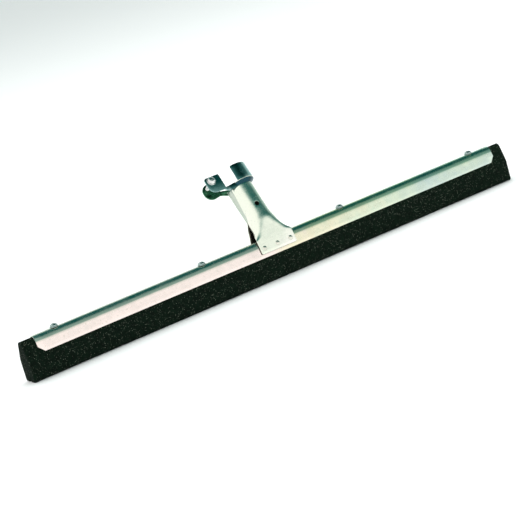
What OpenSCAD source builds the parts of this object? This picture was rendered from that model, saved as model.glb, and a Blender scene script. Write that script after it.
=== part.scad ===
// Floor squeegee head with a folded foam rubber blade, a pressed steel rail
// and a riveted handle socket with a bolted clamp.
// Frame: X along the blade, +Z up from the floor, +Y to the back, where the
// handle leans. The origin is the centre of the bounding box's base.

/* [Output] */
// part to draw, or all

/* [Blade] */
// length of the foam blade
blade_len = 550; // [300:10:900]
// thickness across both lips
blade_w = 19; // [14:0.5:28]
// height of the rail's dome centre above the floor
dome_z = 33.3; // [27:0.1:60]
// corner rounding of the lips
lip_r = 2; // [0.5:0.25:4]
// width of the groove between the lips, at the floor
groove_w = 2.2; // [1:0.2:5]
// depth of the groove between the lips
groove_h = 1.6; // [0.6:0.2:5]
// width of the slit above the groove
slit_w = 0.5; // [0.3:0.1:2]

/* [Rail] */
// length of foam that stands out past each end of the rail
foam_past = 13; // [0:0.5:40]
// outer radius of the rail's domed top
dome_r = 5.8; // [4.5:0.1:10]
// lean of each flange from the vertical, degrees
flange_lean = 19.7; // [8:0.1:28]
// length of each flange below the dome
flange_len = 12; // [9.5:0.1:24]
// sheet thickness of the rail
rail_t = 1.1; // [0.8:0.1:2]
// size of the chamfer on each lower corner
corner_cut = 5.3; // [1:0.1:10]
// clearance between foam and rail
foam_gap = 0.1; // [0.05:0.05:0.5]

/* [Blade clamp] */
// distance of the outer screws from the rail's ends
screw_end = 23.5; // [12:0.5:60]
// shank radius of the rail screws
screw_r = 2; // [1.5:0.1:3]
// head radius of the rail screws
screw_head_r = 3.4; // [3:0.1:5]
// head height of the rail screws
screw_head_h = 2.4; // [1.5:0.1:4]
// washer radius
washer_r = 4; // [3.4:0.1:6]
// washer thickness
washer_t = 0.8; // [0.5:0.1:1.5]
// length of a rail screw below its head
screw_len = 18; // [15:0.5:30]
// width of the clamp bar inside the fold
bar_w = 8; // [5:0.5:12]
// thickness of the clamp bar
bar_t = 3; // [2:0.5:5]
// drop from the dome centre to the clamp bar's top face
bar_drop = 5; // [2:0.5:9]

/* [Handle socket] */
// lean of the socket to the back, degrees
socket_lean = 35.2; // [27:0.1:46]
// outer radius of the socket tube
tube_r = 12.8; // [10:0.05:16]
// sheet thickness of the socket
sheet = 1.4; // [1:0.1:2]
// length of the socket up to the shoulder
socket_len = 57.4; // [50:0.1:90]
// height of the socket's axis start above the dome centre
socket_rise = 3.6; // [2:0.1:10]
// set back of the socket's axis start
socket_back = 1.6; // [0:0.1:6]
// length of the side flare above the flat's tip
flare_len = 10; // [6:0.5:16]
// front flare past the tube's side, at the flat's tip
flare_front = 1.6; // [0.4:0.1:4]
// front flare past the tube's side, halfway down the flat
flare_knee = 2.8; // [0.8:0.1:5]
// rear flare past the tube's side, at the flat's tip
flare_rear = 4.2; // [0.4:0.1:6]
// radius of the cross hole in the tube's front
cross_r = 2.4; // [1.5:0.1:3.5]
// height of the cross hole above the flare's end
cross_up = 4.9; // [3.6:0.1:16]
// width of the seam flange
seam_w = 1.8; // [0.8:0.1:4]

/* [Feet] */
// width of each foot plate past the tube's two sides
foot_past = 14.1; // [12:0.1:24]
// front plate above the flange's top line
front_up = 5; // [3:0.1:7]
// front plate below the flange's top line
front_down = 8.5; // [6:0.1:11]
// rear plate below the flange's top line
rear_down = 9.3; // [7:0.1:11]
// height of the rear plate
rear_h = 7; // [6:0.1:9]
// distance of the outer rivets from the foot plate's side edges
rivet_edge = 5.05; // [3.5:0.05:8]
// radius of a rivet head
rivet_head_r = 2.3; // [1.9:0.1:3]
// height of a rivet head
rivet_head_h = 1; // [0.6:0.1:1.8]
// shank radius of a rivet
rivet_r = 1.5; // [1:0.1:1.8]

/* [Collar and clamp] */
// step from the tube's outer radius to the collar's
collar_step = 2; // [1:0.1:5]
// sideways offset of the collar's centre
collar_x = 2.7; // [0:0.1:3.5]
// height of the shoulder
shoulder_h = 4.6; // [3:0.2:9]
// height of the collar band
band_h = 16.3; // [12:0.1:28]
// left end of the band at the front
band_cut_front = -4.2; // [-9:0.1:0]
// left end of the band at the back
band_cut_rear = 10; // [0:0.1:12]
// half gap between the ears
ear_gap = 6.7; // [5:0.1:10]
// inner edge of the ears from the collar's radius
ear_off = 1; // [0.4:0.1:3]
// width of the ears
ear_w = 16.7; // [14:0.1:24]
// lower edge of the ears above the shoulder's start
ear_low = 3.4; // [2:0.1:8]
// height of the ears
ear_h = 16.8; // [14:0.1:26]
// corner radius of the front ear
ear_corner = 4.5; // [2:0.5:7]
// clamp bolt's distance from the ears' inner edge
bolt_in = 10.6; // [8:0.1:16]
// clamp bolt's height above the shoulder's start
bolt_s = 15.6; // [11:0.1:23]
// shank radius of the clamp bolt
bolt_r = 2; // [1.5:0.1:3]
// length of the clamp bolt below its head
bolt_len = 25; // [23.5:0.5:36]
// thickness of the clamp washers
clamp_washer_t = 0.8; // [0.5:0.1:1.6]
// radius of the clamp washers
clamp_washer_r = 4.4; // [4:0.1:6.5]
// head radius of the clamp bolt
bolt_head_r = 3.7; // [3.2:0.1:5.5]
// head height of the clamp bolt
bolt_head_h = 2.6; // [1.6:0.1:4]
// nut's width across its flats
nut_af = 7; // [6:0.2:9]
// nut's thickness
nut_h = 3.2; // [2.4:0.1:5]

/* [Hidden] */
$fn = 64;
e = 0.01;
steel = [0.80, 0.79, 0.74];
steel_dark = [0.55, 0.60, 0.60];
foam = [0.05, 0.06, 0.055];
bright = [0.86, 0.87, 0.88];

// sizes that follow from those above
rail_len = blade_len - 2 * foam_past;
screw_pitch = (rail_len - 2 * screw_end) / 3;
foot_w = 2 * tube_r + foot_past;
rivet_pitch = foot_w / 2 - rivet_edge;
collar_r = tube_r + collar_step;
ear_in = collar_r + ear_off;
ear_out = ear_in + ear_w;
bolt_x = ear_in + bolt_in;

// flange line: where it leaves the dome, on the outer face
line_y = dome_r * cos(flange_lean);
line_z = dome_z + dome_r * sin(flange_lean);
rail_bottom = line_z - flange_len * cos(flange_lean);
rail_top = dome_z + dome_r;
in_r = dome_r - rail_t;
foam_r = in_r - foam_gap;
foam_half = blade_w / 2;
foam_line_y = foam_r * cos(flange_lean);
foam_line_z = dome_z + foam_r * sin(flange_lean);
foam_flank = (foam_half - foam_line_y) / tan(flange_lean);
foam_knee_z = foam_line_z - foam_flank;

// socket: where its front line crosses the front plate's outer face
open_lean = socket_lean - flange_lean;
tip_s = (-socket_back * cos(flange_lean) + socket_rise * sin(flange_lean)
  + tube_r * cos(open_lean) - dome_r - sheet) / sin(open_lean);
flare_s = tip_s + flare_len;
cross_s = flare_s + cross_up;
sock_z = dome_z + socket_rise;
top_s = socket_len + shoulder_h + band_h;
ear_s = socket_len + ear_low;
bolt_z = socket_len + bolt_s;
ear_face = ear_gap + sheet;
neck_a = 180 - atan2(ear_face, ear_in) - acos(tube_r / norm([ear_in, ear_face]));
nut_y = ear_face + clamp_washer_t;
bolt_end = bolt_len - ear_face - clamp_washer_t;
rivet_v_front = -front_down + 5.1;
rivet_v_rear = -rear_down + rear_h / 2 + 0.1;

// bounding box's middle, so that the origin sits at its base
band_rear = sqrt(pow(collar_r, 2) - pow(band_cut_rear - collar_x, 2));
y_back = socket_back + max(
  top_s * sin(socket_lean) + band_rear * cos(socket_lean),
  (bolt_z + bolt_r) * sin(socket_lean) + bolt_end * cos(socket_lean));
y_front = max(foam_half,
  (dome_r + sheet) * cos(flange_lean) + front_down * sin(flange_lean));
y_mid = (y_back - y_front) / 2;

// placements
module base() { translate([0, -y_mid, 0]) children(); }

module socket_at() {
  translate([0, socket_back - y_mid, sock_z]) rotate([-socket_lean, 0, 0]) children();
}

module rear_flange() {
  translate([0, line_y - y_mid, line_z]) rotate([flange_lean, 0, 0]) children();
}

module front_flange() {
  translate([0, -line_y - y_mid, line_z]) rotate([-flange_lean, 0, 0])
    rotate([0, 0, 180]) children();
}

module flange(side) {
  if (side < 0) front_flange() children();
  else rear_flange() children();
}

// solid bar of the rail's section: dome of radius r, flanks down to z_low
module bar_section(r, z_low, len) {
  fy = r * cos(flange_lean);
  fz = dome_z + r * sin(flange_lean);
  by = fy + (fz - z_low) * tan(flange_lean);
  rotate([90, 0, 90]) translate([0, 0, -len / 2]) {
    translate([0, dome_z, 0]) cylinder(r = r, h = len);
    linear_extrude(height = len)
      polygon([[fy, fz], [-fy, fz], [-by, z_low], [by, z_low]]);
  }
}

function screw_x(i) = (i - 2.5) * screw_pitch;
function rivet_x(i) = (i - 2) * rivet_pitch;

// domed cap of radius r and height h on z = 0
module cap(r, h) {
  R = (r * r + h * h) / (2 * h);
  intersection() {
    translate([0, 0, h - R]) sphere(r = R);
    cylinder(r = r, h = h + 1);
  }
}

// pan head with a cross recess, standing on z = 0
module pan_head(r, h) {
  difference() {
    union() {
      cylinder(r = r, h = h * 0.45);
      translate([0, 0, h * 0.45]) cap(r, h * 0.55);
    }
    for (a = [0, 90]) rotate([0, 0, a])
      translate([-r * 0.52, -r * 0.11, h * 0.5]) cube([r * 1.04, r * 0.22, h]);
  }
}

module rail_channel() {
  color(steel) base() difference() {
    bar_section(dome_r, rail_bottom, rail_len);
    bar_section(in_r, rail_bottom - 1, rail_len + 2);
    for (s = [-1, 1]) translate([s * rail_len / 2, 0, rail_bottom])
      rotate([0, 45, 0]) cube([corner_cut * sqrt(2), 60, corner_cut * sqrt(2)], center = true);
    for (i = [1 : 4]) translate([screw_x(i), 0, dome_z])
      cylinder(r = screw_r + 0.25, h = dome_r + 1);
    for (i = [1 : 3], s = [-1, 1]) translate([rivet_x(i), 0, 0])
      rail_rivet_hole(s);
  }
}

module rail_rivet_hole(side) {
  v = side < 0 ? rivet_v_front : rivet_v_rear;
  translate([0, y_mid, 0]) flange(side)
    translate([0, 1, v]) rotate([90, 0, 0]) cylinder(r = rivet_r, h = rail_t + 2);
}

module foam_blade() {
  color(foam) base() difference() {
    union() {
      bar_section(foam_r, foam_knee_z, blade_len);
      translate([-blade_len / 2, -foam_half, lip_r])
        cube([blade_len, blade_w, foam_knee_z - lip_r]);
      translate([-blade_len / 2, -foam_half + lip_r, 0])
        cube([blade_len, blade_w - 2 * lip_r, lip_r + e]);
      for (s = [-1, 1]) translate([-blade_len / 2, s * (foam_half - lip_r), lip_r])
        rotate([0, 90, 0]) cylinder(r = lip_r, h = blade_len);
    }
    // groove and slit between the two lips
    rotate([90, 0, 90]) translate([0, 0, -blade_len / 2 - 1])
      linear_extrude(height = blade_len + 2)
        polygon([[-groove_w / 2 - 0.4, -0.6], [groove_w / 2 + 0.4, -0.6],
          [slit_w / 2, groove_h], [-slit_w / 2, groove_h]]);
    translate([-blade_len / 2 - 1, -slit_w / 2, groove_h - e])
      cube([blade_len + 2, slit_w, bar_z() - groove_h - 2]);
    // pocket of the clamp bar, closed at both ends
    translate([-bar_len() / 2 - 0.2, -bar_w / 2 - 0.1, bar_z() - 2.2])
      cube([bar_len() + 0.4, bar_w + 0.2, bar_t + 2.3]);
    for (i = [1 : 4]) translate([screw_x(i), 0, rail_top + washer_t - screw_len - 1])
      cylinder(r = screw_r + 0.3, h = screw_len + 2);
    // room for the rivets' inner heads
    for (i = [1 : 3], s = [-1, 1]) translate([rivet_x(i), y_mid, 0])
      flange(s) translate([0, 0, s < 0 ? rivet_v_front : rivet_v_rear])
        rotate([90, 0, 0]) cylinder(r = rivet_head_r + 0.2, h = rail_t + 1.2);
  }
}

function bar_len() = rail_len - 12;
function bar_z() = dome_z - bar_drop - bar_t;

module clamp_bar() {
  color(steel_dark) base() difference() {
    translate([-bar_len() / 2, -bar_w / 2, bar_z()]) cube([bar_len(), bar_w, bar_t]);
    for (i = [1 : 4]) translate([screw_x(i), 0, bar_z() - 1])
      cylinder(r = screw_r + 0.05, h = bar_t + 2);
  }
}

module rail_screw(i) {
  color(bright) base() translate([screw_x(i), 0, rail_top + washer_t]) {
    pan_head(screw_head_r, screw_head_h);
    translate([0, 0, -screw_len]) cylinder(r = screw_r, h = screw_len + 0.5);
  }
}

module rail_washer(i) {
  color(steel) base() translate([screw_x(i), 0, rail_top]) difference() {
    cylinder(r = washer_r, h = washer_t);
    translate([0, 0, -1]) cylinder(r = screw_r + 0.15, h = washer_t + 2);
  }
}

// thin half disc across the socket on the given side, half widths a and b,
// cut flat at the depth flat and reaching back by ext
module half_disc(s, a, b, side, flat, ext) {
  n = 24;
  t0 = side > 0 ? 0 : 180;
  socket_at() translate([0, 0, s - e]) linear_extrude(height = 2 * e)
    polygon(concat([for (i = [0 : n]) [a * cos(t0 + 180 * i / n),
        side * min(flat, b * abs(sin(180 * i / n)))]],
      [[-side * a, -side * ext], [side * a, -side * ext]]));
}

module plate_line(side, v, w, y0, y1) {
  flange(side) translate([-w, y0, v - e]) cube([2 * w, y1 - y0, 2 * e]);
}

// one step of a foot's shell between two half discs [s, a, b, flat]
module shell_step(side, low, high) {
  difference() {
    hull() {
      half_disc(high[0], high[1], high[2], side, high[3], 0);
      half_disc(low[0], low[1], low[2], side, low[3], 0);
    }
    hull() {
      half_disc(high[0] + 2 * e, high[1] - sheet, high[2] - sheet, side, high[3] - sheet, 4);
      half_disc(low[0] - 2 * e, low[1] - sheet, low[2] - sheet, side, low[3] - sheet, 4);
    }
  }
}

// last step, from a half disc to the foot plate's top edge
module shell_end(side, low, up) {
  difference() {
    hull() {
      half_disc(low[0], low[1], low[2], side, low[3], 0);
      plate_line(side, up, foot_w / 2, 0, sheet);
    }
    hull() {
      half_disc(low[0] + 2 * e, low[1] - sheet, low[2] - sheet, side, low[3] - sheet, 4);
      plate_line(side, up - 2 * e, foot_w / 2 - sheet * 1.4, -6, 0);
    }
  }
}

module plate_holes(side, v) {
  for (i = [1 : 3]) flange(side) translate([rivet_x(i), sheet + 1, v])
    rotate([90, 0, 0]) cylinder(r = rivet_r, h = sheet + 2);
}

module front_foot() {
  tip = [tip_s, tube_r + flare_front, tube_r, tube_r];
  knee = [tip_s / 2, tube_r + flare_knee, tube_r * 1.13, tube_r - tip_s / 2 * tan(open_lean)];
  color(steel) difference() {
    union() {
      front_flange() translate([-foot_w / 2, 0, -front_down])
        cube([foot_w, sheet, front_down + front_up]);
      shell_step(-1, tip, [flare_s - e, tube_r, tube_r, tube_r]);
      shell_step(-1, knee, tip);
      shell_end(-1, knee, front_up);
    }
    plate_holes(-1, rivet_v_front);
  }
}

module rear_foot() {
  tip = [tip_s, tube_r + flare_rear, tube_r, tube_r];
  color(steel) difference() {
    union() {
      rear_flange() translate([-foot_w / 2, 0, -rear_down]) cube([foot_w, sheet, rear_h]);
      shell_step(1, tip, [flare_s - e, tube_r, tube_r, tube_r]);
      shell_end(1, tip, rear_h - rear_down);
    }
    plate_holes(1, rivet_v_rear);
  }
}
module rivet(i, side, v) {
  color(bright) flange(side) translate([rivet_x(i), 0, v]) {
    translate([0, sheet, 0]) rotate([-90, 0, 0]) cap(rivet_head_r, rivet_head_h);
    translate([0, sheet + 0.1, 0]) rotate([90, 0, 0])
      cylinder(r = rivet_r, h = sheet + rail_t + 0.2);
    translate([0, -rail_t, 0]) rotate([90, 0, 0]) cylinder(r = rivet_head_r, h = 0.8);
  }
}

module socket_tube() {
  color(steel) socket_at() difference() {
    translate([0, 0, flare_s]) cylinder(r = tube_r, h = socket_len - flare_s);
    cylinder(r = tube_r - sheet, h = socket_len + 1);
    translate([0, 0, cross_s]) rotate([90, 0, 0]) cylinder(r = cross_r, h = tube_r + 2);
  }
}

module seam_flange(side) {
  edge = tube_r + seam_w;
  color(steel) socket_at() difference() {
    translate([0, side < 0 ? 0 : sheet, 0]) rotate([90, 0, 0])
      linear_extrude(height = sheet)
        polygon([[-edge, flare_s + e], [-tube_r + 1, flare_s + e],
          [-tube_r + 1, socket_len - 1.5], [-edge, socket_len - 1.5]]);
    cylinder(r = tube_r, h = socket_len);
  }
}

module shoulder_solid(grow) {
  k = grow < 0 ? 1 / cos(180 / 64) : 1;
  o = grow < 0 ? 0.05 : 0;
  hull() {
    translate([0, 0, socket_len - o]) cylinder(r = (tube_r + grow) * k, h = e);
    translate([collar_x, 0, socket_len + shoulder_h - e + o])
      cylinder(r = (collar_r + grow) * k, h = e);
  }
}

module collar_shoulder() {
  color(steel_dark) socket_at() difference() {
    shoulder_solid(0);
    shoulder_solid(-sheet);
    translate([-tube_r - 6, -ear_gap + 0.25, socket_len + 1])
      cube([tube_r, 2 * ear_gap - 0.5, shoulder_h + 2]);
  }
}

module collar_band() {
  color(steel_dark) socket_at() translate([0, 0, socket_len + shoulder_h]) difference() {
    translate([collar_x, 0, 0]) cylinder(r = collar_r, h = band_h);
    translate([collar_x, 0, -1]) cylinder(r = collar_r - sheet, h = band_h + 2);
    translate([band_cut_front - 40, -40, -1]) cube([40, 40, band_h + 2]);
    translate([band_cut_rear - 40, -1, -1]) cube([40, 41, band_h + 2]);
  }
}

// one ear, its neck to the tube and its web to the seam flange;
// built on the front side (local -Y) and mirrored for the back
module ear(side, corner) {
  out = -ear_out;
  color(steel_dark) socket_at() scale([1, -side, 1]) difference() {
    union() {
      // the ear's plate, outer corners rounded
      translate([out + corner, -ear_face, ear_s])
        cube([ear_out - ear_in - corner, sheet, ear_h]);
      translate([out, -ear_face, ear_s + corner])
        cube([corner + e, sheet, ear_h - 2 * corner]);
      for (z = [ear_s + corner, ear_s + ear_h - corner])
        translate([out + corner, -ear_gap, z]) rotate([90, 0, 0])
          cylinder(r = corner, h = sheet);
      // root and neck
      translate([-ear_in - 4, -ear_face, socket_len - 0.5])
        cube([4, sheet, ear_low + 1]);
      translate([0, 0, socket_len - 0.5])
        linear_extrude(height = shoulder_h + 0.5)
          polygon([[-ear_in, -ear_face], [tube_r * cos(neck_a), -tube_r * sin(neck_a)],
            [(tube_r - sheet) * cos(neck_a), -(tube_r - sheet) * sin(neck_a)],
            [-ear_in, -ear_gap]]);
      // web down to the seam flange
      hull() {
        translate([-ear_in - 1, -ear_face, socket_len - 0.5]) cube([4, sheet, e]);
        translate([-tube_r - seam_w, -sheet, socket_len - 4.5]) cube([seam_w, sheet, e]);
      }
    }
    shoulder_solid(0);
    cylinder(r = tube_r, h = socket_len + e);
    // keep clear of the seam flange itself
    translate([-tube_r - seam_w - 1, -sheet, 0])
      cube([seam_w + 2, sheet + 1, socket_len - 1.5]);
    translate([-bolt_x, 0, bolt_z]) rotate([90, 0, 0])
      cylinder(r = bolt_r + 0.3, h = ear_face + 2);
  }
}

module front_ear() { ear(-1, ear_corner); }
module rear_ear() { ear(1, ear_corner + 3); }

module clamp_bolt() {
  color(bright) socket_at() translate([-bolt_x, -nut_y, bolt_z]) {
    rotate([90, 0, 0]) pan_head(bolt_head_r, bolt_head_h);
    translate([0, -0.5, 0]) rotate([-90, 0, 0]) cylinder(r = bolt_r, h = bolt_len + 0.5);
  }
}

module clamp_washer(side) {
  y0 = side < 0 ? -nut_y : ear_face;
  color(steel) socket_at() translate([-bolt_x, y0, bolt_z]) rotate([-90, 0, 0])
    difference() {
      cylinder(r = clamp_washer_r, h = clamp_washer_t);
      translate([0, 0, -1]) cylinder(r = bolt_r + 0.15, h = clamp_washer_t + 2);
    }
}

module front_washer() { clamp_washer(-1); }
module rear_washer() { clamp_washer(1); }

module clamp_nut() {
  color(bright) socket_at() translate([-bolt_x, nut_y, bolt_z]) rotate([-90, 30, 0])
    difference() {
      cylinder(r = nut_af / 2 / cos(30), h = nut_h, $fn = 6);
      translate([0, 0, -1]) cylinder(r = bolt_r + 0.05, h = nut_h + 2);
    }
}

module rail_screw_1() { rail_screw(1); }
module rail_screw_2() { rail_screw(2); }
module rail_screw_3() { rail_screw(3); }
module rail_screw_4() { rail_screw(4); }
module rail_washer_1() { rail_washer(1); }
module rail_washer_2() { rail_washer(2); }
module rail_washer_3() { rail_washer(3); }
module rail_washer_4() { rail_washer(4); }
module seam_flange_front() { seam_flange(-1); }
module seam_flange_rear() { seam_flange(1); }
module front_rivet_1() { rivet(1, -1, rivet_v_front); }
module front_rivet_2() { rivet(2, -1, rivet_v_front); }
module front_rivet_3() { rivet(3, -1, rivet_v_front); }
module rear_rivet_1() { rivet(1, 1, rivet_v_rear); }
module rear_rivet_2() { rivet(2, 1, rivet_v_rear); }
module rear_rivet_3() { rivet(3, 1, rivet_v_rear); }

rail_channel();
foam_blade();
clamp_bar();
rail_screw_1();
rail_screw_2();
rail_screw_3();
rail_screw_4();
rail_washer_1();
rail_washer_2();
rail_washer_3();
rail_washer_4();
front_foot();
rear_foot();
socket_tube();
seam_flange_front();
seam_flange_rear();
collar_shoulder();
collar_band();
front_ear();
rear_ear();
front_rivet_1();
front_rivet_2();
front_rivet_3();
rear_rivet_1();
rear_rivet_2();
rear_rivet_3();
clamp_bolt();
front_washer();
rear_washer();
clamp_nut();
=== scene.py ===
import math
from types import SimpleNamespace

import bmesh
import bpy
from bpy.props import FloatProperty, FloatVectorProperty, IntProperty, PointerProperty
from mathutils import Matrix, Vector


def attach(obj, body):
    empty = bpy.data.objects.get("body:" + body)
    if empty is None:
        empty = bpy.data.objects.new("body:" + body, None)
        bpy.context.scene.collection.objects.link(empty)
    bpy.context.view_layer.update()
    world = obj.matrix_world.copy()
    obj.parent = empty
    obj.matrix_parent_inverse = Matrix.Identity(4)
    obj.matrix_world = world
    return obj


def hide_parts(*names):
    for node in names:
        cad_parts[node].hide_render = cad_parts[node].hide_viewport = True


bl_info = {
    "name": "Floor Squeegee Head",
    "version": (1, 0, 0),
    "blender": (4, 5, 0),
    "location": "3D View > Sidebar > Squeegee",
    "description": "Models a foam rubber floor squeegee head with a riveted handle socket",
    "category": "Add Mesh",
}

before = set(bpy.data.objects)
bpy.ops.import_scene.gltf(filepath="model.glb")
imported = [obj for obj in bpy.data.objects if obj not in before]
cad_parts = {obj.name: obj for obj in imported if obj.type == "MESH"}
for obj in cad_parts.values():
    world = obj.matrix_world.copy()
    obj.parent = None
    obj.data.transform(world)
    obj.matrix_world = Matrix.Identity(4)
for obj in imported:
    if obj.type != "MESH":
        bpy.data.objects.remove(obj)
BODY = "squeegee"
FRONT, REAR = -1, 1
ORIGIN = (0, 0, 0)

# Fasteners, in millimetres.
THREAD_RADIUS = 2.0
THREAD_PITCH = 0.7
WASHER_BORE = 2.15
WASHER_THICK = 0.8
RIDGE_WASHER = 4.0
RIDGE_HEAD = (3.4, 2.4)
RIDGE_SHANK = 18.0
EAR_WASHER = 4.4
EAR_HEAD = (3.7, 2.6)
NUT_FLATS = 3.5
NUT_BORE = 2.05
NUT_THICK = 3.2
RIVET_SHANK = 1.48
# Radius of each ear's lower and upper outer corner.
EAR_CORNERS = {FRONT: (7.0, 2.6), REAR: (7.6, 7.6)}


def length(name, description, millimetres):
    """A size property, kept in metres."""
    return FloatProperty(
        name=name,
        description=description,
        default=millimetres / 1000,
        unit="LENGTH",
        subtype="DISTANCE",
        min=0.0,
        precision=4,
    )


def angle(name, description, degrees):
    """An angle property, kept in radians."""
    return FloatProperty(
        name=name,
        description=description,
        default=math.radians(degrees),
        unit="ROTATION",
        subtype="ANGLE",
    )


def colour(name, description, value):
    """A colour property."""
    return FloatVectorProperty(
        name=name,
        description=description,
        default=value,
        subtype="COLOR",
        size=3,
        min=0.0,
        max=1.0,
    )


class SqueegeeSizes(bpy.types.PropertyGroup):
    """Sizes of the squeegee head."""

    blade_length: length("Blade length", "Length of the foam blade", 550)
    blade_width: length("Blade width", "Thickness across both lips", 19)
    lip_radius: length("Lip radius", "Rounding of the lips", 2)
    dome_height: length("Dome height", "Height of the rail's dome centre", 33.3)
    dome_radius: length("Dome radius", "Outer radius of the rail's dome", 5.8)
    flange_lean: angle("Flange lean", "Lean of the rail's flanges", 19.7)
    flange_length: length("Flange length", "Length of a flange below the dome", 12)
    rail_length: length("Rail length", "Length of the rail", 524)
    rail_sheet: length("Rail sheet", "Thickness of the rail's sheet", 1.1)
    corner_cut: length("Corner cut", "Chamfer on the rail's lower corners", 5.3)
    screw_spacing: length("Screw spacing", "Distance between rail screws", 159)
    socket_lean: angle("Socket lean", "Lean of the handle socket to the back", 35.2)
    socket_back: length("Socket set back", "Set back of the socket's axis", 1.6)
    socket_rise: length("Socket rise", "Height of the axis above the dome", 3.6)
    tube_radius: length("Tube radius", "Outer radius of the socket tube", 12.8)
    socket_sheet: length("Socket sheet", "Thickness of the socket's sheet", 1.4)
    socket_length: length("Socket length", "Length up to the shoulder", 57.4)
    flat_tip: length("Flat tip", "Where the pressed flat ends, along the socket", 18.1174)
    flare_end: length("Flare end", "Where the flare meets the tube", 28.1174)
    cross_hole: length("Cross hole", "Radius of the cross hole", 2.4)
    cross_height: length("Cross hole height", "Place along the socket", 33.0174)
    foot_width: length("Foot width", "Width of both foot plates", 39.7)
    front_down: length("Front drop", "Front plate below the flange's top", 8.5)
    rear_down: length("Rear drop", "Rear plate below the flange's top", 9.3)
    rear_height: length("Rear plate", "Height of the rear plate", 7)
    rivet_spacing: length("Rivet spacing", "Distance between rivets", 14.8)
    rivet_head: length("Rivet head", "Radius of a rivet's head", 2.3)
    collar_radius: length("Collar radius", "Outer radius of the collar", 14.8)
    collar_offset: length("Collar offset", "Sideways offset of the collar", 2.7)
    shoulder_height: length("Shoulder height", "Height of the shoulder", 4.6)
    band_height: length("Band height", "Height of the collar band", 16.3)
    ear_gap: length("Ear gap", "Half of the gap between the ears", 6.7)
    ear_inner: length("Ear inner edge", "From the socket's axis", 15.8)
    ear_outer: length("Ear outer edge", "From the socket's axis", 32.5)
    ear_low: length("Ear lower edge", "Above the shoulder's start", 3.4)
    ear_height: length("Ear height", "Height of the ears", 16.8)
    bolt_out: length("Bolt distance", "Clamp bolt from the socket's axis", 26.4)
    bolt_up: length("Bolt height", "Clamp bolt above the shoulder's start", 15.6)
    bolt_length: length("Bolt length", "Clamp bolt below its head", 25)
    y_middle: length("Frame offset", "Rail centre in front of the origin", 24.172279)
    round_steps: IntProperty(
        name="Round steps",
        description="Steps around a full circle",
        default=64,
        min=16,
        max=128,
    )


class SqueegeeColours(bpy.types.PropertyGroup):
    """Colours of the squeegee head."""

    zinc: colour("Zinc", "Base colour of the plated sheet", (0.86, 0.80, 0.60))
    zinc_warm: colour("Zinc, warm", "Warm cast of the passivation", (0.90, 0.78, 0.73))
    zinc_green: colour("Zinc, green", "Green cast of the passivation", (0.68, 0.77, 0.61))
    socket: colour("Socket", "Base colour of the handle socket", (0.93, 0.91, 0.83))
    # painted light and shade: collar and collar, dark are the light and dark ends of a reflection
    # painted across the collar band and the ears
    collar: colour("Collar", "Base colour of the collar and ears", (0.62, 0.76, 0.74))
    collar_painted_shade: colour("Collar, dark", "Darker cast of the collar", (0.035, 0.115, 0.11))
    rubber: colour("Rubber", "Base colour of the foam rubber", (0.0018, 0.0050, 0.0028))
    rubber_cells: colour("Rubber cells", "Lighter cell walls", (0.24, 0.27, 0.21))
    bright: colour("Fasteners", "Base colour of screws, bolt and nut", (0.82, 0.82, 0.80))
    floor: colour("Floor", "Colour of the floor", (0.93, 0.93, 0.925))


def sizes():
    """The sizes as plain numbers, lengths in millimetres and angles in radians."""
    group = bpy.context.scene.squeegee_sizes
    out = SimpleNamespace()
    for name in SqueegeeSizes.__annotations__:
        value = getattr(group, name)
        plain = name.endswith("lean") or name == "round_steps"
        setattr(out, name, value if plain else value * 1000)
    return out


# Places in the shared frame, each from millimetres to metres.


def at_blade(s):
    """Frame of the blade: X along it, the rail's centre line at y = 0."""
    return Matrix.Scale(0.001, 4) @ Matrix.Translation((0, -s.y_middle, 0))


def at_socket(s):
    """Frame of the socket: Z along its axis, Y to the back."""
    place = Matrix.Translation((0, s.socket_back, s.dome_height + s.socket_rise))
    return at_blade(s) @ place @ Matrix.Rotation(-s.socket_lean, 4, "X")


def flange_points(s):
    """Where the dome meets the flanges, in the blade's section (y, z)."""
    y = s.dome_radius * math.cos(s.flange_lean)
    z = s.dome_height + s.dome_radius * math.sin(s.flange_lean)
    return y, z


def at_flange(s, side):
    """Frame of a flange: Y outward, Z up along the sheet."""
    y, z = flange_points(s)
    turn = Matrix.Rotation(side * s.flange_lean, 4, "X")
    if side == FRONT:
        turn = turn @ Matrix.Rotation(math.pi, 4, "Z")
    return at_blade(s) @ Matrix.Translation((0, side * y, z)) @ turn


# Mesh helpers.


def place_mesh(bm, matrix):
    """Move a whole mesh into the shared frame."""
    bmesh.ops.transform(bm, matrix=matrix, verts=bm.verts)


def spin(bm, geom, angle, steps, centre=ORIGIN, axis=(0, 0, 1), rise=0.0, merge=False):
    """Spin some geometry round an axis, with a rise for each step."""
    bmesh.ops.spin(
        bm,
        geom=geom,
        cent=centre,
        axis=axis,
        dvec=(0, 0, rise),
        angle=angle,
        steps=steps,
        use_merge=merge,
        use_duplicate=False,
    )


def polyline(bm, points):
    """Vertices through the points and the edges between them."""
    verts = [bm.verts.new(p) for p in points]
    return verts + [bm.edges.new(pair) for pair in zip(verts, verts[1:])]


def turned(bm, profile, steps):
    """Turn a profile of (radius, height) points round the Z axis."""
    spin(bm, polyline(bm, [(r, 0, z) for r, z in profile]), math.tau, steps, merge=True)
    bmesh.ops.remove_doubles(bm, verts=bm.verts, dist=1e-4)
    bmesh.ops.recalc_face_normals(bm, faces=bm.faces)


def verts_in(made):
    """The vertices in an operator's result."""
    return [g for g in made if isinstance(g, bmesh.types.BMVert)]


def extrude_row(bm, edges):
    """Extrude edges in place; returns the fresh vertices and the edges between them."""
    made = bmesh.ops.extrude_edge_only(bm, edges=edges)["geom"]
    fresh = set(verts_in(made))
    row = [g for g in made if isinstance(g, bmesh.types.BMEdge) and fresh.issuperset(g.verts)]
    return fresh, row


def under(v, fresh):
    """The vertex of the row before that a fresh vertex was extruded from."""
    return next(e.other_vert(v) for e in v.link_edges if e.other_vert(v) not in fresh)


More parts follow.
